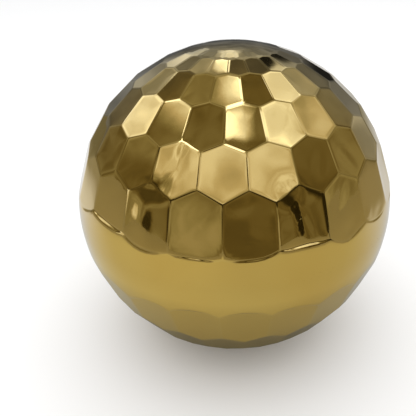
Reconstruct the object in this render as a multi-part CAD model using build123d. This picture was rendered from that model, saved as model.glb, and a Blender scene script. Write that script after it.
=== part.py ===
"""Mirror ball: a hollow ball of gold-coated stainless steel with flat facets pressed into its sheet.

Frame: millimetres, +Z up, origin at the centre of the flat base, so z = 0 is the surface the ball stands on.
The two halves are modelled about the ball's centre and are lifted onto the base when they are written out.
Their rows of flats are alike, but the rows of the lower half lie a little nearer to its pole.
"""

import os
from math import cos, pi, radians, sin, sqrt

from build123d import *

# ---------------------------------------------------------------- driving dimensions
BALL_DIAMETER = 146.05        # over the smooth band, 5.75 inches
SHEET = 0.6                   # stainless sheet of both halves
FACETS_PER_ROW = 22
BASE_RADIUS = 10.0            # flat at the bottom pole that the ball stands on
BAND_STEP = 0.3               # the faceted sheet lies this much inside the band

# One entry a row, from the smooth band to the pole: the latitude that the row's flats face, and the
# angular radius of the circle that one flat alone would cut on the ball. Both are in degrees.
UPPER_ROWS = [
    (18.8, 10.3),
    (32.7, 9.1),
    (46.9, 8.15),
    (59.5, 7.2),
    (69.6, 5.2),
    (76.4, 3.2),
]
LOWER_ROWS = [
    (20.8, 9.5),
    (34.9, 8.9),
    (48.7, 8.1),
    (60.8, 7.0),
    (70.3, 4.9),
    (76.8, 3.0),
]
UPPER_BAND_EDGE = 9.4         # latitude in degrees where the smooth band stops, with a pressed step
LOWER_BAND_EDGE = 10.0        # latitude in degrees where the lower flats run out on the band, without a step

LOWER_TURN = -1.7             # degrees that the lower half is welded out of step with the upper one
SEAM_WIDTH = 1.5              # weld metal between the rims of the halves
SEAM_ROOT = 0.35              # how far the weld stands proud inside

DIMPLE_RADIUS = 5.6           # pocket in the base for the plug's head
DIMPLE_DEPTH = 1.1
VENT_RADIUS = 2.5
PLUG_HEAD_RADIUS = 5.0
PLUG_HEAD_HEIGHT = 0.7
PLUG_LIP_RADIUS = 3.2         # barb that holds the plug inside the sheet
PLUG_LIP_HEIGHT = 1.6
PLUG_TIP_RADIUS = 1.8

# ---------------------------------------------------------------- derived dimensions
BALL_RADIUS = BALL_DIAMETER / 2
CROWN_RADIUS = BALL_RADIUS - BAND_STEP
CENTRE_HEIGHT = sqrt(CROWN_RADIUS**2 - BASE_RADIUS**2)
HALF_STEP = pi / FACETS_PER_ROW          # a row is turned by this against the next one
DIMPLE_ROOF = DIMPLE_DEPTH + SHEET       # height of the dimple's inner face over the base


# ---------------------------------------------------------------- plain shapes about the axis
def disc(radius, bottom, top):
    """Round slab from height bottom to height top."""
    return Pos(0, 0, bottom) * Cylinder(radius, top - bottom, align=(Align.CENTER, Align.CENTER, Align.MIN))


def turned(profile):
    """Solid of revolution from radius and height points in the XZ plane."""
    return revolve(make_face(Polyline(profile, close=True)), Axis.Z)


# ---------------------------------------------------------------- facet lattice
def flats(rows, inset):
    """Latitude in radians and distance from the centre of each row's flats, for a surface that far inside."""
    return [(radians(latitude), CROWN_RADIUS * cos(radians(reach)) - inset) for latitude, reach in rows]


def ridge_point(flat, neighbour):
    """Radius and height of the point where a flat meets the ridge between two flats of the next row."""
    latitude, distance = flat
    other_latitude, other_distance = neighbour
    along, up = cos(latitude), sin(latitude)
    other_along, other_up = cos(other_latitude) * cos(HALF_STEP), sin(other_latitude)
    scale = along * other_up - other_along * up
    radius = (distance * other_up - other_distance * up) / scale
    height = (along * other_distance - other_along * distance) / scale
    return radius, height


def at(point, azimuth):
    """A point in space from its radius and height, turned about the ball's axis."""
    radius, height = point
    return Vector(radius * cos(azimuth), radius * sin(azimuth), height)


def equator_corner(flat):
    """Radius and height where the ridge between two flats of the first row comes down to the equator."""
    latitude, distance = flat
    return distance / (cos(latitude) * cos(HALF_STEP)), 0.0


def facet_face(planes, index, azimuth):
    """One facet as a flat face. The first row runs down to the equator, and the last one up to the axis."""
    flat = planes[index]
    left, right = azimuth - HALF_STEP, azimuth + HALF_STEP
    if index == 0:
        corners = [at(equator_corner(flat), left), at(equator_corner(flat), right)]
    else:
        below = planes[index - 1]
        side = ridge_point(below, flat)
        corners = [at(side, left), at(ridge_point(flat, below), azimuth), at(side, right)]
    if index == len(planes) - 1:
        latitude, distance = flat
        corners += [Vector(0, 0, distance / sin(latitude))]
    else:
        above = planes[index + 1]
        side = ridge_point(above, flat)
        corners += [at(side, right), at(ridge_point(flat, above), azimuth), at(side, left)]
    return Face(Wire.make_polygon(corners, close=True))


def faceted_dome(rows, band_edge, inset):
    """Solid half ball, its surface moved inwards by inset: the faceted crown on the smooth band.

    The flats of the first row run straight down to the band, and where they would stand out of it they end in
    scallops on its sphere. The polar cap is part of a smaller sphere.
    """
    planes = flats(rows, inset)
    faces = []
    for index in range(len(planes)):
        turn = HALF_STEP * (index % 2)
        faces += [facet_face(planes, index, turn + 2 * HALF_STEP * count) for count in range(FACETS_PER_ROW)]
    rim = [at(equator_corner(planes[0]), HALF_STEP * (2 * count + 1)) for count in range(FACETS_PER_ROW)]
    faces.append(Face(Wire.make_polygon(rim, close=True)))
    ledge = CROWN_RADIUS * sin(radians(band_edge)) - inset
    first_row_latitude, _ = planes[0]
    ball = Sphere(BALL_RADIUS - inset)
    zone = disc(BALL_RADIUS, 0, BALL_RADIUS * sin(first_row_latitude))
    rounding = Sphere(CROWN_RADIUS - inset) + (ball & zone)
    crown = (Solid(Shell(faces)) & rounding) - disc(BALL_DIAMETER, -BALL_DIAMETER, ledge)
    band = ball & disc(BALL_RADIUS, 0, ledge)
    return crown + band


# ---------------------------------------------------------------- pieces
def upper_shell():
    """Top half: the faceted dome less the same dome one sheet further in, cut back for the seam."""
    shell = faceted_dome(UPPER_ROWS, UPPER_BAND_EDGE, 0) - faceted_dome(UPPER_ROWS, UPPER_BAND_EDGE, SHEET)
    return shell - disc(BALL_DIAMETER, -SEAM_WIDTH, SEAM_WIDTH / 2)


def lower_dome(inset):
    """A faceted dome turned upside down by a mirror, and turned about the axis to where it was welded on."""
    return Rot(0, 0, LOWER_TURN) * mirror(faceted_dome(LOWER_ROWS, LOWER_BAND_EDGE, inset), Plane.XY)


def lower_shell():
    """Bottom half: a second faceted dome, with a flat base, a dimple in the base and the vent hole."""
    base = -CENTRE_HEIGHT
    outside = lower_dome(0) - disc(BALL_DIAMETER, -BALL_DIAMETER, base)
    inside = lower_dome(SHEET) - disc(BALL_DIAMETER, -BALL_DIAMETER, base + SHEET)
    inside -= disc(DIMPLE_RADIUS + SHEET, base, base + DIMPLE_ROOF)
    shell = outside - inside
    shell -= disc(DIMPLE_RADIUS, base - SHEET, base + DIMPLE_DEPTH)
    shell -= disc(VENT_RADIUS, base, base + 2 * DIMPLE_ROOF)
    return shell - disc(BALL_DIAMETER, -SEAM_WIDTH / 2, SEAM_WIDTH)


def seam_weld():
    """Weld ring: flush with the ball outside, with a rounded root inside."""
    half = SEAM_WIDTH / 2
    inner_radius = BALL_RADIUS - SHEET
    outer_edge = sqrt(BALL_RADIUS**2 - half**2)
    inner_edge = sqrt(inner_radius**2 - half**2)
    lower_outer, upper_outer = (outer_edge, 0, -half), (outer_edge, 0, half)
    lower_inner, upper_inner = (inner_edge, 0, -half), (inner_edge, 0, half)
    outline = Curve() + [
        ThreePointArc(lower_outer, (BALL_RADIUS, 0, 0), upper_outer),
        Line(upper_outer, upper_inner),
        ThreePointArc(upper_inner, (inner_radius - SEAM_ROOT, 0, 0), lower_inner),
        Line(lower_inner, lower_outer),
    ]
    return revolve(make_face(outline), Axis.Z)


def vent_plug():
    """Push-in plug: a head in the dimple, a neck through the vent hole and a barb behind the sheet."""
    dimple_face = -CENTRE_HEIGHT + DIMPLE_DEPTH
    sheet_face = dimple_face + SHEET
    return turned([
        (0, 0, dimple_face - PLUG_HEAD_HEIGHT),
        (PLUG_HEAD_RADIUS, 0, dimple_face - PLUG_HEAD_HEIGHT),
        (PLUG_HEAD_RADIUS, 0, dimple_face),
        (VENT_RADIUS, 0, dimple_face),
        (VENT_RADIUS, 0, sheet_face),
        (PLUG_LIP_RADIUS, 0, sheet_face),
        (PLUG_TIP_RADIUS, 0, sheet_face + PLUG_LIP_HEIGHT),
        (0, 0, sheet_face + PLUG_LIP_HEIGHT),
    ])


PIECES = {
    "upper_shell": upper_shell,
    "lower_shell": lower_shell,
    "seam_weld": seam_weld,
    "vent_plug": vent_plug,
}

os.makedirs("parts", exist_ok=True)
for name, make in PIECES.items():
    export_step(Pos(0, 0, CENTRE_HEIGHT) * make(), f"parts/{name}.step")
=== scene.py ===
from dataclasses import dataclass
from math import acos, atan2, cos, exp, hypot, log, pi, radians, sin, sqrt

import bmesh
import bpy
from mathutils import Euler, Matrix, Quaternion, Vector, noise


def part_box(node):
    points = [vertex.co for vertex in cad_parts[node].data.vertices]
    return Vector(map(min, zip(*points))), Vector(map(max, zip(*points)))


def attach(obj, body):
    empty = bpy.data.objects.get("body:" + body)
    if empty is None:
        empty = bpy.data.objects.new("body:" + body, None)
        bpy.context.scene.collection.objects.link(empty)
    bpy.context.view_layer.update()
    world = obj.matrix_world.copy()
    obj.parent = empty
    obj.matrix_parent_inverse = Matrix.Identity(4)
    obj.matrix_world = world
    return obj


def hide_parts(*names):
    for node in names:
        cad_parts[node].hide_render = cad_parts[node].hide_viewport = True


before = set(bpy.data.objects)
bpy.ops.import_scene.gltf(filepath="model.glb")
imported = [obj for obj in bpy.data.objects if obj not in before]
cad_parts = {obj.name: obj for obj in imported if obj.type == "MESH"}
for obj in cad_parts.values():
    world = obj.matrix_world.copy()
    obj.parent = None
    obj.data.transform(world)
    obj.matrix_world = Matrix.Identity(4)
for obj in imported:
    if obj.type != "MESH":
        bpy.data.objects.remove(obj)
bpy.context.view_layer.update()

# Metres, +Z up, origin at the centre of the flat base. The skins are worked out about the ball's centre, with
# the pole up, and are then lifted onto the base; the lower half is mirrored and turned first.

MM = 0.001

# ---------------------------------------------------------------- sizes, from the frame
seam_low, seam_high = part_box("seam_weld")
plug_low, plug_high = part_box("vent_plug")
CENTRE_HEIGHT = (seam_low.z + seam_high.z) / 2
BALL_RADIUS = (seam_high.x - seam_low.x) / 2
SEAM_HALF = (seam_high.z - seam_low.z) / 2

# ---------------------------------------------------------------- the pressed sheet, as in the CAD model
SHEET = 0.6 * MM
BAND_STEP = 0.3 * MM
CROWN_RADIUS = BALL_RADIUS - BAND_STEP
LOWER_TURN = radians(-1.7)
FACETS_PER_ROW = 22
HALF_STEP = pi / FACETS_PER_ROW
UPPER_ROWS = [                                   # latitude faced, and reach over the ball, in degrees
    (18.8, 10.3),
    (32.7, 9.1),
    (46.9, 8.15),
    (59.5, 7.2),
    (69.6, 5.2),
    (76.4, 3.2),
]
LOWER_ROWS = [
    (20.8, 9.5),
    (34.9, 8.9),
    (48.7, 8.1),
    (60.8, 7.0),
    (70.3, 4.9),
    (76.8, 3.0),
]
BASE_RADIUS = 10.0 * MM
DIMPLE_RADIUS = 5.6 * MM
DIMPLE_DEPTH = 1.1 * MM
VENT_RADIUS = 2.5 * MM
SEAM_ROOT = 0.35 * MM                            # how far the weld stands proud inside
PLUG_LIP_RADIUS = 3.2 * MM

# ---------------------------------------------------------------- how finely the skins are divided
SIDE_PARTS = 7                                   # lengths that each side of a facet is cut into
FLAT_RINGS = [0.92, 0.8, 0.65, 0.48, 0.31, 0.15]  # inside a facet's rounded ridges, in shares of its flat
INNER_RINGS = [1.0, 0.5]                         # of a facet of the inner skin, which has no rounded ridges
BAND_RINGS = [0.1, 0.25, 0.42, 0.6, 0.78, 0.9, 0.98, 1.0]   # from the pressed edge to the seam
CAP_RINGS = [0.06, 0.16, 0.35, 0.6, 0.85, 1.0]   # from the cap's edge inwards
CAP_MIDDLE = 1.5 * MM                            # radius of the fan of faces at the pole
PLUG_SEGMENTS = 48
WELD_REACH = 0.002 * MM                          # points nearer to each other than this become one
SHARP_TURN = radians(50)                         # faces that meet at a greater turn than this stay sharp

# ---------------------------------------------------------------- finish of the pressing
RIDGE_EASE = 0.05 * MM                           # how far the ridges are worn and rounded down
RIDGE_WIDTH = 0.7 * MM                           # how far a ridge's rounding reaches into a facet
BLURRED_RIDGE = 1.6 * MM                         # the same in the last row, which is barely pressed in
BULGE = 0.2                                      # of a mean flat: its rise over its size squared, in 1/m
BULGE_LUCK = 2.2                                 # how much that differs from flat to flat
UNDER_BAND = 0.05 * MM                           # how softly the skin is held inside the band's sphere
TRUE_RIM = 8 * MM                                # height over which the band becomes true towards the seam
# The swelling of the sheet: how fine it is, where its noise starts, and how high it is in mm.
SWELLINGS = [
    (55, Vector((3.1, 7.7, 1.9)), 0.055),
    (120, Vector((9.2, 0.4, 5.3)), 0.014),
]

# ---------------------------------------------------------------- pressed edge between flats and band
# The latitude of a level edge, how far it follows the scallops that the flats alone would cut, its swells
# (azimuth from -Y, half width and rise, in degrees), the width it is pressed over, and where it is blurred
# (azimuth from -Y and half width).
UPPER_EDGE_LATITUDE = 9.2
UPPER_SCALLOP = 0.45
UPPER_EDGE_SWELLS = [
    (-44, 14, 6.5),
    (-16, 3, -1.2),
    (-9, 4, 0.5),
    (0, 4, -1.8),
    (24, 8.5, 4.7),
    (38.5, 5, -1.5),
    (47, 5, 1.4),
    (-105, 12, 0.9),
    (150, 14, -0.8),
    (98, 9, 0.8),
]
UPPER_EDGE_WIDTH = 0.85 * MM
UPPER_EDGE_BLURS = [(-28, 7), (-62, 9), (120, 9), (175, 8), (-140, 9)]
EDGE_BLUR = 1.6                                  # how much wider the edge is pressed where it is blurred
# Its slow waves: how many go round the ball, and their phase in radians and rise in degrees.
EDGE_WAVES = [
    (8, 2.1, 0.25),
    (17, 0.4, 0.2),
]
STEP_DEPTH = 0.85                                # of the pressed step, in edge widths below a flat's foot
# Rings of the step: depth in edge widths, and share of the way out to the band's sphere.
STEP_RINGS = [
    (0.16, 0.12),
    (0.36, 0.45),
    (0.58, 0.8),
    (STEP_DEPTH, 1.0),
]
STEP_WEAR = 0.6                                  # wear at the top of the step, where 1 is the wear of a ridge
LOWER_EDGE_LATITUDE = 11.2
LOWER_SCALLOP = 0.62
LOWER_EDGE_SWELLS = [
    (-31, 11, 5.0),
    (29, 9, 4.0),
]
LOWER_EDGE_WIDTH = 0.35 * MM


# ---------------------------------------------------------------- lattice of flats
def flats(rows, inset):
    """Latitude and distance from the centre of each row's flats, for a skin that far under the outer one."""
    return [(radians(latitude), CROWN_RADIUS * cos(radians(reach)) - inset) for latitude, reach in rows]


def ridge_point(flat, neighbour):
    """Radius and height where a flat meets the ridge between two flats of the next row."""
    latitude, distance = flat
    other_latitude, other_distance = neighbour
    along, up = cos(latitude), sin(latitude)
    other_along, other_up = cos(other_latitude) * cos(HALF_STEP), sin(other_latitude)
    scale = along * other_up - other_along * up
    return (
        (distance * other_up - other_distance * up) / scale,
        (along * other_distance - other_along * distance) / scale,
    )


def polar(radius, azimuth, height):
    return Vector((radius * cos(azimuth), radius * sin(azimuth), height))


def at(point, azimuth):
    """A point in space from its radius and height, turned about the ball's axis."""
    radius, height = point
    return polar(radius, azimuth, height)


def run_out(flat, offset, radius, side):
    """Latitude at which a flat meets a sphere, above (side 1) or below (side -1) its own middle."""
    latitude, distance = flat
    along, up = cos(latitude) * cos(offset), sin(latitude)
    return atan2(up, along) + side * acos(distance / radius / hypot(along, up))


def swell(azimuth, middle, half_width):
    """1 at an azimuth given in degrees from -Y, falling off to both sides."""
    away = (azimuth - radians(middle - 90) + pi) % (2 * pi) - pi
    return exp(-((away / radians(half_width)) ** 2))


def edge_height(half, flat, offset, azimuth, inset):
    """Height of the pressed edge under a first-row flat.

    Scallop 1 is where the flat runs out on the band by itself; scallop 0 is a level edge that only wanders.
    """
    wander = sum(rise * sin(waves * azimuth + phase) for waves, phase, rise in EDGE_WAVES)
    wander += sum(rise * swell(azimuth, *stretch) for *stretch, rise in half.edge_swells)
    level = radians(half.edge_latitude + wander)
    natural = run_out(flat, offset, BALL_RADIUS - inset, -1)
    return (BALL_RADIUS - inset) * sin(level + (natural - level) * half.scallop)


def foot_point(skin, azimuth, offset):
    """Where a first-row flat ends at the pressed edge. The offset is the azimuth from the flat's middle."""
    flat = skin.rows[0]
    latitude, distance = flat
    height = edge_height(skin.half, flat, offset, azimuth, skin.inset)
    radius = (distance - height * sin(latitude)) / (cos(latitude) * cos(offset))
    return polar(radius, azimuth, height)


def cap_point(skin, azimuth, offset):
    """Where a last-row flat runs out into the round cap. The offset is the azimuth from the flat's middle."""
    radius = CROWN_RADIUS - skin.inset
    reach = run_out(skin.rows[-1], offset, radius, 1)
    return polar(radius * cos(reach), azimuth, radius * sin(reach))


# ---------------------------------------------------------------- unevenness of the sheet
def waviness(place):
    """Small swelling of the whole skin: the sheet is never quite true."""
    return MM * sum(height * noise.noise(place * fineness + start) for fineness, start, height in SWELLINGS)


def kept_inside(place):
    """Eases whatever would stand out of the band's sphere back under it, without a corner."""
    reach = place.length
    gap = (BALL_RADIUS - reach) / UNDER_BAND
    return place * ((BALL_RADIUS - UNDER_BAND * log(1 + exp(gap))) / reach)


class Dent:
    """A soft groove: azimuth from -Y, latitude and direction in degrees; half length and width, depth in mm.

    A direction of 0 runs east, 90 north. A groove of negative depth is a swelling.
    """

    def __init__(self, azimuth, latitude, turn, length, width, depth):
        self.outward = polar(cos(radians(latitude)), radians(azimuth - 90), sin(radians(latitude)))
        east = Vector((0, 0, 1)).cross(self.outward).normalized()
        north = self.outward.cross(east)
        self.along = east * cos(radians(turn)) + north * sin(radians(turn))
        self.across = self.outward.cross(self.along)
        self.length, self.width, self.depth = length * MM, width * MM, depth * MM

    def at(self, place):
        if place.dot(self.outward) < 0:
            return 0.0
        x = place.dot(self.along) / self.length
        y = place.dot(self.across) / self.width
        return self.depth * exp(-x * x - y * y)


UPPER_DENTS = [
    Dent(-15.4, 39.5, 77, 3.2, 1.4, 0.19),
    Dent(-19.4, 28.3, 74, 4.0, 1.5, 0.21),
    Dent(-16.8, 33.7, 72, 5.0, 2.2, 0.10),
    Dent(-24, 26.8, 3, 7.0, 3.2, 0.34),
    Dent(-23, 21.6, 3, 5.0, 3.0, -0.10),
    Dent(-26.5, 16.0, -92, 7.0, 3.2, -0.48),
    Dent(-31, 20, 80, 2.5, 1.2, 0.12),
    Dent(21.0, 27.0, -12, 4.2, 4.2, 0.42),
    Dent(20.0, 20.6, -12, 4.2, 4.2, -0.22),
    Dent(25.1, 15.2, 100, 9.0, 1.9, 0.22),
    Dent(22.4, 15.2, 100, 9.0, 1.9, -0.22),
    Dent(19, 13, 10, 5.0, 2.0, -0.08),
    Dent(6, 24, 15, 6.0, 2.4, 0.06),
    Dent(9, 14, -10, 7.0, 2.2, -0.06),
    Dent(-7, 22, 40, 6.0, 3.0, 0.05),
    Dent(-11, 14, -20, 6.0, 2.5, -0.05),
    Dent(40, 22, 60, 7.0, 2.6, 0.09),
    Dent(34, 32, 70, 5.0, 2.2, 0.07),
    Dent(48, 31, -60, 6.0, 2.4, 0.08),
    Dent(42, 10.5, 15, 3.5, 0.9, 0.22),
    Dent(46, 11.5, 40, 1.6, 0.8, -0.30),
    Dent(48.5, 12, -30, 1.4, 0.7, 0.35),
    Dent(51, 12.5, 30, 2.0, 0.8, -0.25),
    Dent(59, 10, 25, 3.0, 0.9, 0.18),
    Dent(22, 48, 60, 6.0, 2.0, 0.06),
    Dent(-41, 20, 50, 8.0, 2.6, 0.07),
    Dent(150, 20, 35, 5.0, 1.8, 0.10),
    Dent(-125, 32, 70, 5.5, 2.0, 0.09),
    Dent(110, 46, 20, 4.5, 1.8, 0.08),
    Dent(-160, 16, 80, 6.0, 1.8, 0.14),
]
LOWER_DENTS = [
    Dent(-95, 20, 50, 5.0, 1.8, 0.10),
    Dent(140, 33, 10, 5.0, 2.0, 0.09),
    Dent(30, 47, 80, 4.0, 1.6, 0.08),
]


# ---------------------------------------------------------------- skins
class Skin:
    """Points and faces of one skin of a half, and how near each point is to a ridge, from 0 to 1.

    The inner skin is true and coarse; the outer one has the unevenness, the worn ridges and the dents.
    """

    def __init__(self, half, inset):
        self.half = half
        self.inset = inset
        self.true = inset > 0
        self.rows = flats(half.rows, inset)
        self.points = []
        self.faces = []
        self.ridge = []

    def add(self, points, ridge=0.0):
        first = len(self.points)
        self.points += points
        self.ridge += [ridge] * len(points)
        return list(range(first, first + len(points)))

    def bridge(self, outer, inner):
        count = len(outer)
        for here in range(count):
            after = (here + 1) % count
            self.faces.append((outer[here], outer[after], inner[after], inner[here]))

    def fan(self, ring, middle):
        for here in range(len(ring)):
            self.faces.append((ring[here], ring[(here + 1) % len(ring)], middle))

    def uneven(self, place, ridge=0.0):
        """Where a point really lies once the sheet is pressed and the ridges are worn."""
        if self.true:
            return place
        outward = place.normalized()
        dented = sum(dent.at(place) for dent in self.half.dents)
        return kept_inside(place + outward * (waviness(place) - dented - RIDGE_EASE * ridge * ridge))


def straight(start, end):
    """Points of a straight side, without its last one."""
    return [start.lerp(end, part / SIDE_PARTS) for part in range(SIDE_PARTS)]


def outline(skin, index, azimuth):
    """Points round one facet, anticlockwise from outside."""
    rows = skin.rows
    flat = rows[index]
    left, right = azimuth - HALF_STEP, azimuth + HALF_STEP
    offsets = [HALF_STEP * (2 * part / SIDE_PARTS - 1) for part in range(SIDE_PARTS + 1)]
    if index == 0:
        bottom = [foot_point(skin, azimuth + offset, offset) for offset in offsets]
        points = bottom[:-1]
        low_left, low_right = bottom[0], bottom[-1]
    else:
        below = rows[index - 1]
        side = ridge_point(below, flat)
        low_left, low_right = at(side, left), at(side, right)
        foot = at(ridge_point(flat, below), azimuth)
        points = straight(low_left, foot) + straight(foot, low_right)
    if index == len(rows) - 1:
        top = [cap_point(skin, azimuth + offset, offset) for offset in reversed(offsets)]
        return points + straight(low_right, top[0]) + top[:-1] + straight(top[-1], low_left)
    above = rows[index + 1]
    side = ridge_point(above, flat)
    high_left, high_right = at(side, left), at(side, right)
    head = at(ridge_point(flat, above), azimuth)
    points += straight(low_right, high_right) + straight(high_right, head)
    return points + straight(head, high_left) + straight(high_left, low_left)


def facet(skin, index, count):
    """One flat as rings of points from its ridges to its middle, slightly bulged or dished."""
    azimuth = HALF_STEP * (index % 2 + 2 * count)
    latitude, _ = skin.rows[index]
    normal = polar(cos(latitude), azimuth, sin(latitude))
    side = outline(skin, index, azimuth)
    middle = sum(side, Vector()) / len(side)
    size = sum((point - middle).length for point in side) / len(side)
    luck = noise.noise(Vector((index * 3.7, count * 1.9, 0.5)))
    bulge = 0.0 if skin.true else (BULGE + BULGE_LUCK * luck) * size**2
    width = (BLURRED_RIDGE if index == len(skin.rows) - 1 else RIDGE_WIDTH) / size
    scales = [1.0, 1 - width / 2] + [(1 - width) * share for share in [1.0] + FLAT_RINGS]
    if skin.true:
        scales = INNER_RINGS
    outer = None
    for scale in scales:
        ridge = max(0.0, 1 - (1 - scale) / width)
        lift = normal * (bulge * (1 - scale**3))
        places = [middle + (point - middle) * scale + lift for point in side]
        ring = skin.add([skin.uneven(place, ridge) for place in places], ridge)
        if outer:
            skin.bridge(outer, ring)
        outer = ring
    skin.fan(outer, skin.add([skin.uneven(middle + normal * bulge)])[0])


def round_points(make):
    """One point for every length of the first row's lower sides, all the way round."""
    total = FACETS_PER_ROW * SIDE_PARTS
    offsets = [HALF_STEP * (2 * (step % SIDE_PARTS) / SIDE_PARTS - 1) for step in range(total)]
    return [make(HALF_STEP * (2 * step / SIDE_PARTS - 1), offset) for step, offset in enumerate(offsets)]


def band(skin):
    """The pressed edge and the smooth band down to the seam. Returns the ring at the seam."""
    half = skin.half
    radius = BALL_RADIUS - skin.inset
    feet = round_points(lambda azimuth, offset: foot_point(skin, azimuth, offset))
    azimuths = [atan2(point.y, point.x) for point in feet]
    ring = skin.add([skin.uneven(point, 1.0) for point in feet], 1.0)
    blurs = [sum(swell(azimuth, *blur) for blur in half.edge_blurs) for azimuth in azimuths]
    widths = [half.edge_width * (1 + EDGE_BLUR * blur) for blur in blurs]
    for drop, share in STEP_RINGS:
        points = []
        for point, azimuth, width in zip(feet, azimuths, widths):
            height = point.z - drop * width
            start = hypot(point.x, point.y)
            end = sqrt(radius**2 - height**2)
            points.append(skin.uneven(polar(start + (end - start) * share, azimuth, height)))
        following = skin.add(points, STEP_WEAR * (1 - share))
        skin.bridge(following, ring)
        ring = following
    for part in BAND_RINGS:
        points = []
        for point, azimuth, width in zip(feet, azimuths, widths):
            start = point.z - STEP_DEPTH * width
            height = start + (SEAM_HALF - start) * part
            place = polar(sqrt(radius**2 - height**2), azimuth, height)
            free = min(1.0, (height - SEAM_HALF) / TRUE_RIM)
            points.append(place.lerp(skin.uneven(place), free))
        following = skin.add(points)
        skin.bridge(following, ring)
        ring = following
    return ring


def lathe(skin, ring, profile):
    """Carries a ring of points on through radius and height pairs about the axis."""
    azimuths = [atan2(skin.points[number].y, skin.points[number].x) for number in ring]
    for radius, height in profile:
        following = skin.add([polar(radius, azimuth, height) for azimuth in azimuths])
        skin.bridge(ring, following)
        ring = following
    return ring


def round_cap(skin, end_radius):
    """The smooth cap, from its scalloped edge to end_radius. Returns its last ring."""
    radius = CROWN_RADIUS - skin.inset
    turn = HALF_STEP * ((len(skin.rows) - 1) % 2)
    edge = round_points(lambda azimuth, offset: cap_point(skin, azimuth + turn, offset))
    ring = skin.add([skin.uneven(point, 1.0) for point in edge], 1.0)
    for part in CAP_RINGS:
        points = []
        for point in edge:
            out = hypot(point.x, point.y)
            out += (end_radius - out) * part
            place = polar(out, atan2(point.y, point.x), sqrt(radius**2 - out**2))
            points.append(place if part == 1.0 else skin.uneven(place))
        following = skin.add(points)
        skin.bridge(ring, following)
        ring = following
    return ring


def closed_pole(skin):
    """The round cap right up to the pole. It has no open rim to return."""
    ring = round_cap(skin, CAP_MIDDLE)
    skin.fan(ring, skin.add([Vector((0, 0, CROWN_RADIUS - skin.inset))])[0])


def vented_pole(skin):
    """The flat base with the dimple and the vent hole, up to the hole's rim."""
    cap_end = BASE_RADIUS + 0.3 * MM - skin.inset * 0.2
    ring = round_cap(skin, cap_end)
    base = CENTRE_HEIGHT - skin.inset
    dimple_floor = base - DIMPLE_DEPTH
    wall = DIMPLE_RADIUS + skin.inset
    soft = 0.12 * MM                             # rounding of the dimple's corners
    return lathe(skin, ring, [
        (BASE_RADIUS - 0.1 * MM, base - soft / 6),
        (BASE_RADIUS - 0.5 * MM, base),
        (wall + 3 * soft, base),
        (wall + soft, base - soft / 2),
        (wall, base - 2 * soft),
        (wall, dimple_floor + 2 * soft),
        (wall - soft, dimple_floor + soft / 2),
        (wall - 3 * soft, dimple_floor),
        (VENT_RADIUS + soft, dimple_floor),
        (VENT_RADIUS, dimple_floor - (0 if skin.true else soft)),
    ])


@dataclass
class Half:
    """How one half of the ball is pressed."""

    rows: list
    edge_latitude: float
    scallop: float
    edge_swells: list
    edge_width: float
    edge_blurs: list
    dents: list
    finish_pole: object


UPPER_HALF = Half(
    rows=UPPER_ROWS,
    edge_latitude=UPPER_EDGE_LATITUDE,
    scallop=UPPER_SCALLOP,
    edge_swells=UPPER_EDGE_SWELLS,
    edge_width=UPPER_EDGE_WIDTH,
    edge_blurs=UPPER_EDGE_BLURS,
    dents=UPPER_DENTS,
    finish_pole=closed_pole,
)
LOWER_HALF = Half(
    rows=LOWER_ROWS,
    edge_latitude=LOWER_EDGE_LATITUDE,
    scallop=LOWER_SCALLOP,
    edge_swells=LOWER_EDGE_SWELLS,
    edge_width=LOWER_EDGE_WIDTH,
    edge_blurs=[],
    dents=LOWER_DENTS,
    finish_pole=vented_pole,
)


def half_skin(half, inset):
    """A whole half of the ball as one skin, with its rings at the seam and at the pole."""
    skin = Skin(half, inset)
    for index in range(len(skin.rows)):
        for count in range(FACETS_PER_ROW):
            facet(skin, index, count)
    return skin, band(skin), half.finish_pole(skin)


def shell(name, half, lower):
    """Outer and inner skin of one half, joined at the seam and at the vent hole, and stood on the base."""
    outer, seam, rim = half_skin(half, 0)
    inner, inner_seam, inner_rim = half_skin(half, SHEET)
    shift = len(outer.points)
    outer.points += inner.points
    outer.ridge += inner.ridge
    outer.faces += [tuple(number + shift for number in reversed(face)) for face in inner.faces]
    outer.bridge([number + shift for number in inner_seam], seam)
    if rim:
        outer.bridge(rim, [number + shift for number in inner_rim])
    points, faces = outer.points, outer.faces
    if lower:
        turn = Euler((0, 0, LOWER_TURN)).to_matrix()
        points = [turn @ Vector((point.x, point.y, -point.z)) for point in points]
        faces = [tuple(reversed(face)) for face in faces]
    points = [point + Vector((0, 0, CENTRE_HEIGHT)) for point in points]
    mesh = bpy.data.meshes.new(name)
    mesh.from_pydata(points, [], faces)
    mesh.attributes.new("ridge", "FLOAT", "POINT").data.foreach_set("value", outer.ridge)
    work = bmesh.new()
    work.from_mesh(mesh)
    return smooth_piece(name, mesh, work)


def smooth_piece(name, mesh, work):
    """Welds points that coincide, smooths everything but real corners and makes the object."""
    bmesh.ops.remove_doubles(work, verts=work.verts, dist=WELD_REACH)
    for face in work.faces:
        face.smooth = True
    work.to_mesh(mesh)
    work.free()
    mesh.set_sharp_from_angle(angle=SHARP_TURN)
    piece = bpy.data.objects.new(name, mesh)
    bpy.context.collection.objects.link(piece)
    return piece


# ---------------------------------------------------------------- pieces turned about the axis
def turned_piece(name, profile, segments):
    """Solid of revolution from radius and height pairs that start and end on the axis or on each other."""
    work = bmesh.new()
    rings = []
    for radius, height in profile:
        azimuths = [2 * pi * step / segments for step in range(segments if radius else 1)]
        rings.append([work.verts.new(polar(radius, azimuth, height)) for azimuth in azimuths])
    for low, high in zip(rings, rings[1:]):
        for step in range(segments):
            after = step + 1
            places = [(low, step), (low, after), (high, after), (high, step)]
            corners = list(dict.fromkeys(ring[number % len(ring)] for ring, number in places))
            if len(corners) > 2:
                work.faces.new(corners)
    bmesh.ops.remove_doubles(work, verts=work.verts, dist=WELD_REACH)
    bmesh.ops.recalc_face_normals(work, faces=work.faces)
    return smooth_piece(name, bpy.data.meshes.new(name), work)


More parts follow.
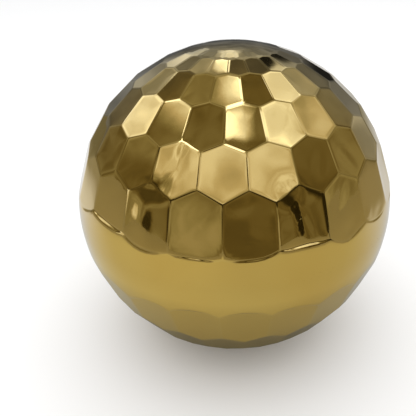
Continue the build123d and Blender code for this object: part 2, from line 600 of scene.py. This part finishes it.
def seam_piece():
    """The weld: ground flush outside, with its rounded root inside."""
    steps = [-1, -0.93, -0.5, 0, 0.5, 0.93, 1]
    outside = []
    for step in steps:
        height = SEAM_HALF * step
        outside.append((sqrt(BALL_RADIUS**2 - height**2), CENTRE_HEIGHT + height))
    inside = []
    inner_radius = BALL_RADIUS - SHEET
    for step in reversed(steps):
        height = SEAM_HALF * step
        root = SEAM_ROOT * (1 - step * step)
        inside.append((sqrt(inner_radius**2 - height**2) - root, CENTRE_HEIGHT + height))
    return turned_piece("seam_weld_polished", outside + inside + outside[:1], FACETS_PER_ROW * SIDE_PARTS)


def plug_piece():
    """Moulded push-in plug: rounded head with a shallow pip, neck, and a barb with a rounded tip."""
    low, high = plug_low.z, plug_high.z
    head = (plug_high.x - plug_low.x) / 2
    head_top = DIMPLE_DEPTH
    sheet_top = head_top + SHEET
    profile = [
        (0, low + 0.18 * MM),
        (0.9 * MM, low + 0.18 * MM),
        (1.2 * MM, low + 0.03 * MM),
        (1.5 * MM, low),
        (head - 0.3 * MM, low),
        (head - 0.08 * MM, low + 0.08 * MM),
        (head, low + 0.3 * MM),
        (head, head_top - 0.1 * MM),
        (head - 0.1 * MM, head_top),
        (VENT_RADIUS, head_top),
        (VENT_RADIUS, sheet_top),
        (PLUG_LIP_RADIUS - 0.1 * MM, sheet_top),
        (PLUG_LIP_RADIUS, sheet_top + 0.12 * MM),
        (2.5 * MM, sheet_top + 0.85 * MM),
        (1.7 * MM, high - 0.08 * MM),
        (1.4 * MM, high),
        (0, high),
    ]
    return turned_piece("vent_plug_moulded", profile, PLUG_SEGMENTS)


# ---------------------------------------------------------------- shader helpers
class Nodes:
    """Short forms for making and linking shader nodes. A value is a number or another node's socket."""

    def __init__(self, tree):
        self.tree = tree
        tree.nodes.clear()

    def add(self, kind, **settings):
        node = self.tree.nodes.new(kind)
        for key, value in settings.items():
            setattr(node, key, value)
        return node

    def feed(self, socket, value):
        if isinstance(value, bpy.types.NodeSocket):
            self.tree.links.new(value, socket)
        elif value is not None:
            socket.default_value = value

    def math(self, operation, *values):
        node = self.add("ShaderNodeMath", operation=operation)
        for socket, value in zip(node.inputs, values):
            self.feed(socket, value)
        return node.outputs[0]

    def product(self, *values):
        """All the values multiplied together."""
        result, *others = values
        for value in others:
            result = self.math("MULTIPLY", result, value)
        return result

    def total(self, *values):
        """All the values added up."""
        result, *others = values
        for value in others:
            result = self.math("ADD", result, value)
        return result

    def dot(self, vector, direction):
        node = self.add("ShaderNodeVectorMath", operation="DOT_PRODUCT")
        self.feed(node.inputs[0], vector)
        node.inputs[1].default_value = direction
        return node.outputs["Value"]

    def times(self, vector, other):
        """A vector multiplied by another one, part by part."""
        node = self.add("ShaderNodeVectorMath", operation="MULTIPLY")
        self.feed(node.inputs[0], vector)
        self.feed(node.inputs[1], other)
        return node.outputs["Vector"]

    def scaled(self, vector, scale):
        """A vector multiplied by a number."""
        node = self.add("ShaderNodeVectorMath", operation="SCALE")
        self.feed(node.inputs[0], vector)
        self.feed(node.inputs["Scale"], scale)
        return node.outputs["Vector"]

    def length(self, vector):
        node = self.add("ShaderNodeVectorMath", operation="LENGTH")
        self.feed(node.inputs[0], vector)
        return node.outputs["Value"]

    def parts(self, vector):
        """The x, y and z of a vector."""
        node = self.add("ShaderNodeSeparateXYZ")
        self.feed(node.inputs[0], vector)
        return node.outputs

    def smooth(self, value, low, high, to_low=0.0, to_high=1.0):
        """Runs from to_low to to_high, without a corner, while the value runs from low to high."""
        node = self.add("ShaderNodeMapRange", interpolation_type="SMOOTHSTEP")
        self.feed(node.inputs["Value"], value)
        node.inputs["From Min"].default_value = low
        node.inputs["From Max"].default_value = high
        node.inputs["To Min"].default_value = to_low
        node.inputs["To Max"].default_value = to_high
        return node.outputs["Result"]

    def layered(self, level, mask, brightness):
        """The level, with another brightness in its place where the mask is 1."""
        return self.math("MULTIPLY_ADD", mask, self.math("SUBTRACT", brightness, level), level)

    def noise(self, vector, scale, detail=2.0, roughness=0.5):
        node = self.add("ShaderNodeTexNoise")
        self.feed(node.inputs["Vector"], vector)
        node.inputs["Scale"].default_value = scale
        node.inputs["Detail"].default_value = detail
        node.inputs["Roughness"].default_value = roughness
        return node.outputs["Fac"]

    def ramp(self, value, stops):
        """Colour that changes with the value, from stops of a position and a colour."""
        node = self.add("ShaderNodeValToRGB")
        self.feed(node.inputs["Fac"], value)
        points = node.color_ramp.elements
        while len(points) < len(stops):
            points.new(0.5)
        for point, (position, colour) in zip(points, stops):
            point.position = position
            point.color = (*colour, 1)
        return node.outputs["Color"]

    def mix(self, share, first, second):
        """Colour between two others: the first where the share is 0, the second where it is 1."""
        node = self.add("ShaderNodeMix", data_type="RGBA")
        self.feed(node.inputs[0], share)
        for socket, colour in ((node.inputs[6], first), (node.inputs[7], second)):
            self.feed(socket, (*colour, 1) if isinstance(colour, tuple) else colour)
        return node.outputs[2]

    def bump(self, height, distance, normal=None):
        node = self.add("ShaderNodeBump")
        node.inputs["Strength"].default_value = 1.0
        node.inputs["Distance"].default_value = distance
        self.feed(node.inputs["Height"], height)
        self.feed(node.inputs["Normal"], normal)
        return node.outputs["Normal"]

    def finish(self, shader, kind="ShaderNodeOutputMaterial"):
        """Sends a shader to the output."""
        self.feed(self.add(kind).inputs["Surface"], shader.outputs[0])


def new_material(name):
    """An empty material and its nodes."""
    material = bpy.data.materials.new(name)
    material.use_nodes = True
    return material, Nodes(material.node_tree)


# ---------------------------------------------------------------- materials
GOLD = (0.90, 0.68, 0.26)
GOLD_DEEP = (0.86, 0.62, 0.21)
GOLD_WORN = (0.93, 0.76, 0.40)
RIDGE_PALENESS = 0.25                            # share of GOLD_WORN on a ridge
RIDGE_HAZE = 0.02                                # roughness added on a ridge
SEAM_HAZE = 0.01                                 # roughness added on the ground weld
RUBBER = (0.018, 0.018, 0.018)
RUBBER_DUSTY = (0.05, 0.048, 0.045)


def gold_mirror(name, added_haze=0.0):
    """Gold coating on polished steel, with orange peel, polishing lines and paler, hazier ridges."""
    material, nodes = new_material(name)
    place = nodes.add("ShaderNodeTexCoord").outputs["Object"]
    ridge = nodes.add("ShaderNodeAttribute", attribute_name="ridge").outputs["Fac"]
    drift = nodes.noise(place, 26, detail=3)
    tone = nodes.ramp(drift, [(0.3, GOLD_DEEP), (0.7, GOLD)])
    colour = nodes.mix(nodes.product(ridge, RIDGE_PALENESS), tone, GOLD_WORN)

    haze = nodes.smooth(nodes.noise(place, 60, detail=5, roughness=0.6), 0.35, 0.8, 0.035, 0.075)
    specks = nodes.smooth(nodes.noise(place, 900, detail=2), 0.68, 0.78, 0.0, 0.06)
    roughness = nodes.total(haze, specks, nodes.product(ridge, RIDGE_HAZE), added_haze)

    peel = nodes.noise(place, 260, detail=2)
    stretched = nodes.times(place, (0.25, 0.25, 6.0))
    lines = nodes.noise(stretched, 700, detail=3)
    relief = nodes.bump(peel, 0.0045 * MM)
    relief = nodes.bump(lines, 0.0004 * MM, relief)

    shader = nodes.add("ShaderNodeBsdfPrincipled")
    shader.inputs["Metallic"].default_value = 1.0
    shader.inputs["Coat Weight"].default_value = 0.8
    shader.inputs["Coat Roughness"].default_value = 0.03
    nodes.feed(shader.inputs["Base Color"], colour)
    nodes.feed(shader.inputs["Roughness"], roughness)
    nodes.feed(shader.inputs["Normal"], relief)
    nodes.finish(shader)
    return material


def plug_rubber():
    """Black moulded rubber with a fine grain and a dusty bloom."""
    material, nodes = new_material("plug_rubber_moulded")
    place = nodes.add("ShaderNodeTexCoord").outputs["Object"]
    bloom = nodes.noise(place, 400, detail=4)
    grain = nodes.noise(place, 4000, detail=2)
    shader = nodes.add("ShaderNodeBsdfPrincipled")
    nodes.feed(shader.inputs["Base Color"], nodes.ramp(bloom, [(0.35, RUBBER), (0.75, RUBBER_DUSTY)]))
    nodes.feed(shader.inputs["Roughness"], nodes.smooth(bloom, 0.3, 0.7, 0.55, 0.75))
    nodes.feed(shader.inputs["Normal"], nodes.bump(grain, 0.02 * MM))
    nodes.finish(shader)
    return material


# ---------------------------------------------------------------- studio
CAMERA_DISTANCE = 3.354 * BALL_RADIUS            # from the ball's centre
CAMERA_AZIMUTH, CAMERA_ELEVATION, CAMERA_ROLL = 3.54, 27.54, -0.91
CAMERA_SENSOR, CAMERA_LENS = 36.0, 43.1827       # mm
CAMERA_SHIFT = (-0.06346, -0.03341)              # shares of the picture's width
DARK_SHELF = 0.03                                # brightness of the dark stretch on the camera's side
TABLE_RAMP_SCALE = 5.0                           # a ramp's position for each metre from the ball, in the painted shade near it
TABLE_OVAL = (1.4, 0.75, 1.0)                    # the painted table reflection is longer than it is wide
PALE_STRIP = (0.66, 0.66, 0.66)                  # painted reflection of a pale strip behind the ball
FLOOR_PAPER = (0.93, 0.93, 0.93)
FLOOR_SIZE = 8.0


def aim(azimuth, elevation):
    """Unit vector to a place round the ball: azimuth 0 is the camera's side, 90 is +X, in degrees."""
    a, e = radians(azimuth), radians(elevation)
    return Vector((sin(a) * cos(e), -cos(a) * cos(e), sin(e)))


# What the mirror finds in the room: azimuth, elevation, half width, edge softness (degrees) and brightness.
# Bright ones are soft boxes, dark ones are flags and gaps between them; a later one stands in front.
ROOM = [
    (-68, 34, 5, 3, 0.02),
    (-31, 36, 3, 2, 0.02),
    (30, 3, 4, 3, 0.35),
    (-113, 10, 8, 6, 0.16),
    (-62, 2, 9, 4, 0.24),
    (-47, 40, 10, 5, 0.70),
    (-9, 40, 14, 5, 0.62),
    (33, 38, 14, 5, 0.62),
    (-58, 18, 9, 5, 0.09),
    (-26, 6, 13, 6, 0.26),
    (10, 7, 12, 5, 0.13),
    (47, 4, 12, 6, 0.13),
    (81, 0, 12, 8, 0.24),
    (101, 16, 11, 8, 0.20),
    (-84, 22, 12, 6, 0.12),
    (-74, 5.5, 6.5, 2, 0.75),
    (-85, 28, 5, 4, 0.26),
    (70, 28, 12, 6, 0.12),
    (-115, 34, 12, 5, 1.10),
    (-91, 50, 10, 7, 0.16),
    (-94, 57, 5, 5, 0.75),
    (-75, 62, 4, 4, 2.40),
    (-112, 56, 5, 4, 2.20),
    (-53, 68, 11, 5, 0.15),
    (-52, 52, 6, 4, 2.40),
    (-20, 56, 4, 3, 0.10),
    (2, 57, 5, 4, 2.40),
    (12, 40, 2.5, 3, 0.05),
    (-8, 8, 3, 3, 0.02),
    (64, 4, 7, 3, 0.02),
    (69, 4, 6, 3, 0.02),
    (57, 8.5, 3.5, 2, 0.02),
    (54, 12, 4, 2, 0.02),
    (-48, 3, 4, 3, 0.04),
    (128, 4, 8, 6, 0.33),
    (24, 71, 10, 5, 0.14),
    (76, 60, 12, 6, 1.20),
    (84, 54, 4, 6, 0.70),
    (106, 42, 12, 7, 0.50),
    (128, 23, 10, 6, 0.15),
    (-134, 17, 10, 6, 0.13),
    (-151, 1, 6, 3, 0.17),
    (-152, 17, 8, 4, 0.28),
    (-143, 32, 8, 5, 0.33),
    (-136, 48, 9, 5, 0.13),
    (-136, 64, 9, 5, 0.25),
    (-163, 76, 7, 5, 0.24),
    (141, 71, 8, 4, 0.13),
    (135, 55, 9, 4, 1.15),
    (140, 39, 8, 4, 0.33),
    (148, 23, 8, 4, 0.11),
    (-160, 24, 6, 3, 0.62),
    (-159, 35, 6, 3, 0.17),
    (-161, 46, 6, 3, 0.34),
    (-171.5, 51.5, 3.3, 2, 1.80),
    (177, 54, 4, 2, 0.12),
    (164, 49, 6, 3, 0.09),
    (156.5, 40, 4.5, 2, 0.60),
    (164.2, 40.3, 1.8, 1, 0.01),
    (164.6, 27.8, 2.2, 1.2, 0.01),
    (171, 35, 3, 2, 0.30),
    (163, 18, 4, 3, 0.12),
    (159, 9, 3, 2, 0.01),
    (-140, 40, 2.5, 2, 1.30),
    (-175, 37, 4, 2, 0.82),
]


def room_level(nodes, direction):
    """Brightness of the room in a direction, as the mirror sees it."""
    _, ahead, height = nodes.parts(direction)
    level = nodes.smooth(height, 0.0, 0.6, 0.17, 0.26)
    front = nodes.smooth(ahead, -0.2, -0.45)
    shelf = nodes.product(nodes.smooth(height, 0.18, 0.26), nodes.smooth(height, 0.46, 0.38))
    level = nodes.layered(level, nodes.product(front, shelf), DARK_SHELF)
    behind = nodes.smooth(ahead, 0.75, 0.95)
    level = nodes.layered(level, behind, nodes.smooth(height, 0.0, 0.6, 0.09, 0.16))
    for azimuth, elevation, half_width, softness, brightness in ROOM:
        toward = nodes.dot(direction, aim(azimuth, elevation))
        outer = cos(radians(half_width + softness / 2))
        inner = cos(radians(half_width - softness / 2))
        level = nodes.layered(level, nodes.smooth(toward, outer, inner), brightness)
    mask, brightness = ceiling_box(nodes, direction)
    level = nodes.layered(level, mask, brightness)
    mottle = nodes.smooth(nodes.noise(direction, 9.0, detail=3), 0.33, 0.67, 0.7, 1.3)
    return nodes.product(level, mottle)


def ceiling_box(nodes, direction):
    """The soft box over the ball: a mask and a brightness, with a dimmer bar on each side of its middle."""
    side, ahead, height = nodes.parts(direction)
    across = nodes.product(nodes.smooth(side, -0.095, -0.035), nodes.smooth(side, 0.170, 0.085))
    along = nodes.product(nodes.smooth(ahead, -0.31, -0.275), nodes.smooth(ahead, 0.32, 0.27))
    mask = nodes.product(nodes.smooth(height, 0.9, 0.95), nodes.product(across, along))
    from_middle = nodes.math("ABSOLUTE", ahead)
    ends = nodes.smooth(from_middle, 0.195, 0.235, 0.7, 1.75)
    middle = nodes.smooth(from_middle, 0.19, 0.15, 0.0, 1.6)
    return mask, nodes.total(ends, middle)


def room_world():
    """Pale to the camera; to the mirror it is a dim warm room with soft boxes and flags."""
    world = bpy.data.worlds.new("room")
    bpy.context.scene.world = world
    world.use_nodes = True
    nodes = Nodes(world.node_tree)
    direction = nodes.add("ShaderNodeTexCoord").outputs["Generated"]
    level = room_level(nodes, direction)

    warm = nodes.ramp(level, [
        (0.0, (0.0, 0.0, 0.0)),
        (0.13, (0.13, 0.102, 0.04)),
        (0.27, (0.27, 0.247, 0.15)),
        (0.55, (0.55, 0.50, 0.39)),
        (0.95, (0.95, 0.98, 1.04)),
    ])
    grey = nodes.scaled((1.0, 1.05, 1.12), nodes.math("MINIMUM", level, 1.0))
    _, ahead, _ = nodes.parts(direction)
    tint = nodes.mix(nodes.smooth(ahead, 0.3, 0.9), warm, grey)
    rays = nodes.add("ShaderNodeLightPath")
    plain = nodes.math("MAXIMUM", rays.outputs["Is Camera Ray"], rays.outputs["Is Diffuse Ray"])
    background = nodes.add("ShaderNodeBackground")
    nodes.feed(background.inputs["Color"], nodes.mix(plain, tint, (1.0, 1.0, 1.0)))
    strength = nodes.math("MAXIMUM", level, 1.0)
    nodes.feed(background.inputs["Strength"], nodes.layered(strength, plain, 1.0))
    nodes.finish(background, "ShaderNodeOutputWorld")


def painted_floor_reflection(nodes, place):
    """Painted reflection of the floor, as only the mirror sees it: a small grey table top that is pale behind
    the ball, with painted shade darkening it toward the ball.
    """
    across, behind, _ = nodes.parts(place)
    reach = nodes.product(nodes.length(place), TABLE_RAMP_SCALE)
    # Painted shade: the grey darkens toward the ball, on top of the real shadow the ball casts on the floor.
    greys = [(0.22, 0.25), (0.36, 0.335), (0.47, 0.35), (0.59, 0.40), (0.75, 0.38)]
    shade_near_ball = nodes.ramp(reach, [(position, (level, level, level)) for position, level in greys])
    warmth = nodes.mix(nodes.smooth(behind, -0.08, 0.08), (1.0, 0.92, 0.56), (1.25, 1.25, 1.25))
    # Painted light: the table reflection is brighter on its lit -X side.
    lit_side = nodes.smooth(across, -0.09, 0.05, 1.12, 1.0)
    table = nodes.scaled(nodes.times(shade_near_ball, warmth), lit_side)
    room_floor = nodes.ramp(behind, [(0.35, (0.24, 0.215, 0.14)), (0.8, (0.15, 0.13, 0.07))])
    away = nodes.length(nodes.times(place, TABLE_OVAL))
    fading = nodes.mix(nodes.smooth(away, 0.32, 0.65), table, room_floor)
    off_strip = nodes.math("ABSOLUTE", nodes.total(across, 0.10))
    off_strip = nodes.math("MULTIPLY_ADD", behind, -0.2, off_strip)
    strip = nodes.product(nodes.smooth(off_strip, 0.34, 0.14), nodes.smooth(behind, 0.05, 0.20))
    return nodes.mix(strip, fading, PALE_STRIP)


def studio_floor():
    """Large pale floor, of another colour to the mirror: a painted reflection, with painted shade near the
    ball.
    """
    half = FLOOR_SIZE / 2
    mesh = bpy.data.meshes.new("floor")
    corners = [(-half, -half, 0), (half, -half, 0), (half, half, 0), (-half, half, 0)]
    mesh.from_pydata(corners, [], [(0, 1, 2, 3)])
    sheet = bpy.data.objects.new("floor", mesh)
    bpy.context.collection.objects.link(sheet)

    material, nodes = new_material("floor_paper")
    place = nodes.add("ShaderNodeTexCoord").outputs["Object"]
    mirrored = nodes.add("ShaderNodeLightPath").outputs["Is Glossy Ray"]
    shader = nodes.add("ShaderNodeBsdfDiffuse")
    nodes.feed(shader.inputs["Color"], nodes.mix(mirrored, FLOOR_PAPER, painted_floor_reflection(nodes, place)))
    nodes.finish(shader)
    mesh.materials.append(material)


def overhead_light():
    """Broad soft light over the table. The mirror does not see it."""
    lamp = bpy.data.lights.new("overhead", "AREA")
    lamp.shape = "DISK"
    lamp.size = 1.6
    lamp.energy = 5.0
    light = bpy.data.objects.new("overhead", lamp)
    light.location = (0, -0.1, 1.2)
    light.visible_glossy = False
    bpy.context.collection.objects.link(light)


def camera():
    """The photograph's view: a little to the right of -Y and looking down, quite close to the ball."""
    data = bpy.data.cameras.new("camera")
    data.sensor_width = CAMERA_SENSOR
    data.lens = CAMERA_LENS
    data.shift_x, data.shift_y = CAMERA_SHIFT
    data.clip_start = 0.01
    view = bpy.data.objects.new("camera", data)
    back = aim(CAMERA_AZIMUTH, CAMERA_ELEVATION)
    view.location = Vector((0, 0, CENTRE_HEIGHT)) + back * CAMERA_DISTANCE
    view.rotation_mode = "QUATERNION"
    view.rotation_quaternion = back.to_track_quat("Z", "Y") @ Quaternion((0, 0, 1), radians(CAMERA_ROLL))
    bpy.context.collection.objects.link(view)
    bpy.context.scene.camera = view


# ---------------------------------------------------------------- the model
def add_piece(piece, node, material):
    piece.data.materials.clear()
    piece.data.materials.append(material)
    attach(piece, "root")
    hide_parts(node)


add_piece(
    shell("upper_shell_skin", UPPER_HALF, lower=False),
    "upper_shell", gold_mirror("gold_mirror_upper_coat"),
)
add_piece(
    shell("lower_shell_skin", LOWER_HALF, lower=True),
    "lower_shell", gold_mirror("gold_mirror_lower_coat"),
)
add_piece(seam_piece(), "seam_weld", gold_mirror("gold_mirror_seam_coat", SEAM_HAZE))
add_piece(plug_piece(), "vent_plug", plug_rubber())

room_world()
studio_floor()
overhead_light()
camera()
bpy.context.scene.view_settings.view_transform = "Standard"
